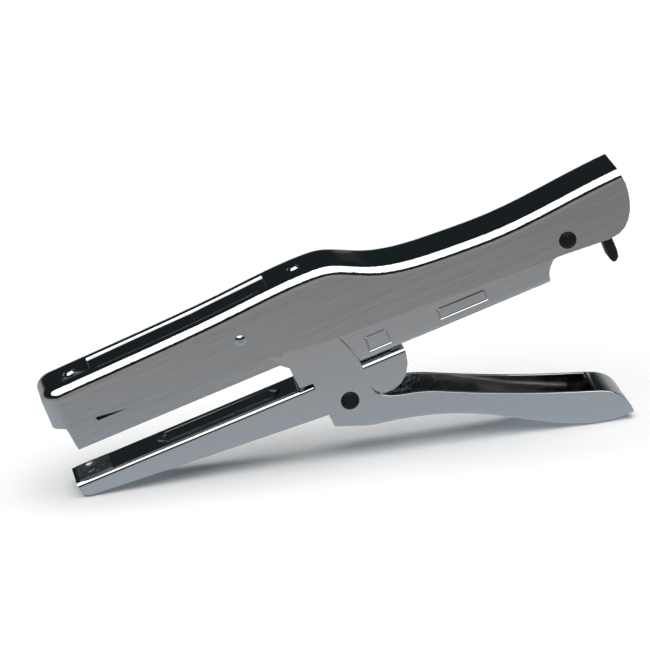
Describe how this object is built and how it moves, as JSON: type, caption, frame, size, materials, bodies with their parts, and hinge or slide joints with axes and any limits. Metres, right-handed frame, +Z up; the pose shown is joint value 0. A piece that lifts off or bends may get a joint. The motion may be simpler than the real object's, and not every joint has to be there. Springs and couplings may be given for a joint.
{
  "type": "plier stapler",
  "caption": "Hand-squeezed plier stapler: humped cover over a staple magazine, lower jaw with anvil, and a sprung squeeze handle.",
  "frame": {"origin": "bottom centre of the bounding box at rest, on the ground plane", "axes": "+X from the nose to the handles, +Y across the tool, +Z up; the tool rests on the jaw tip and the lower handle"},
  "size_m": [0.1752, 0.0212, 0.0778],
  "materials": {
    "chrome_plate": "polished nickel-chrome plate on pressed steel",
    "satin_steel": "zinc-plated steel",
    "spring_steel": "bright spring steel",
    "staple_wire": "galvanised wire",
    "black_steel": "black oxide",
    "black_plastic": "matt moulded"
  },
  "bodies": {
    "frame": {"anvil_arm": "chrome_plate", "anvil_plate": "satin_steel", "anvil_rivet": "satin_steel", "rear_channel": "chrome_plate", "channel_rivets": "satin_steel", "rear_pin": "black_steel", "pivot_pin": "black_steel", "pivot_bush": "satin_steel", "handle_return_spring": "spring_steel"},
    "magazine": {"magazine_channel": "satin_steel", "nose_plate": "satin_steel", "staple_rail": "satin_steel", "staple_strip": "staple_wire", "rod_guide": "satin_steel"},
    "cover": {"cover": "chrome_plate", "cover_rivets": "chrome_plate", "driver_bracket": "satin_steel", "driver_blade": "spring_steel", "cover_return_spring": "spring_steel", "link_pin": "chrome_plate"},
    "lower_handle": {"lower_handle": "chrome_plate"},
    "pusher": {"pusher_rod": "spring_steel", "pusher_follower": "satin_steel", "pusher_tab": "black_plastic", "spring_collar": "satin_steel", "pusher_spring": "spring_steel"}
  },
  "joints": [
    {"name": "handle_squeeze", "type": "hinge", "parent": "frame", "child": "lower_handle", "pos_m": [0.00135, 0, 0.01853], "axis": [0, -1, 0], "range_deg": [0, 17.5], "stiffness_Nm_per_rad": 2, "springref_deg": -11.46, "deforming": ["handle_return_spring"]},
    {"name": "cover_swing", "type": "hinge", "parent": "frame", "child": "cover", "pos_m": [0.06856, 0, 0.05885], "axis": [0, -1, 0], "range_deg": [0, 6.4], "deforming": ["cover_return_spring"]},
    {"name": "magazine_swing", "type": "hinge", "parent": "frame", "child": "magazine", "pos_m": [0.06856, 0, 0.05885], "axis": [0, -1, 0], "range_deg": [0, 3.55]},
    {"name": "pusher_slide", "type": "slide", "parent": "magazine", "child": "pusher", "axis": [0.9629, 0, 0.2698], "range_m": [0, 0.045], "stiffness_N_per_m": 40, "springref_m": -0.03, "deforming": ["pusher_spring"]}
  ],
  "couplings": [
    {"joint": "cover_swing", "follows": "handle_squeeze", "ratio": 0.36571},
    {"joint": "magazine_swing", "follows": "handle_squeeze", "ratio": 0.20286}
  ]
}
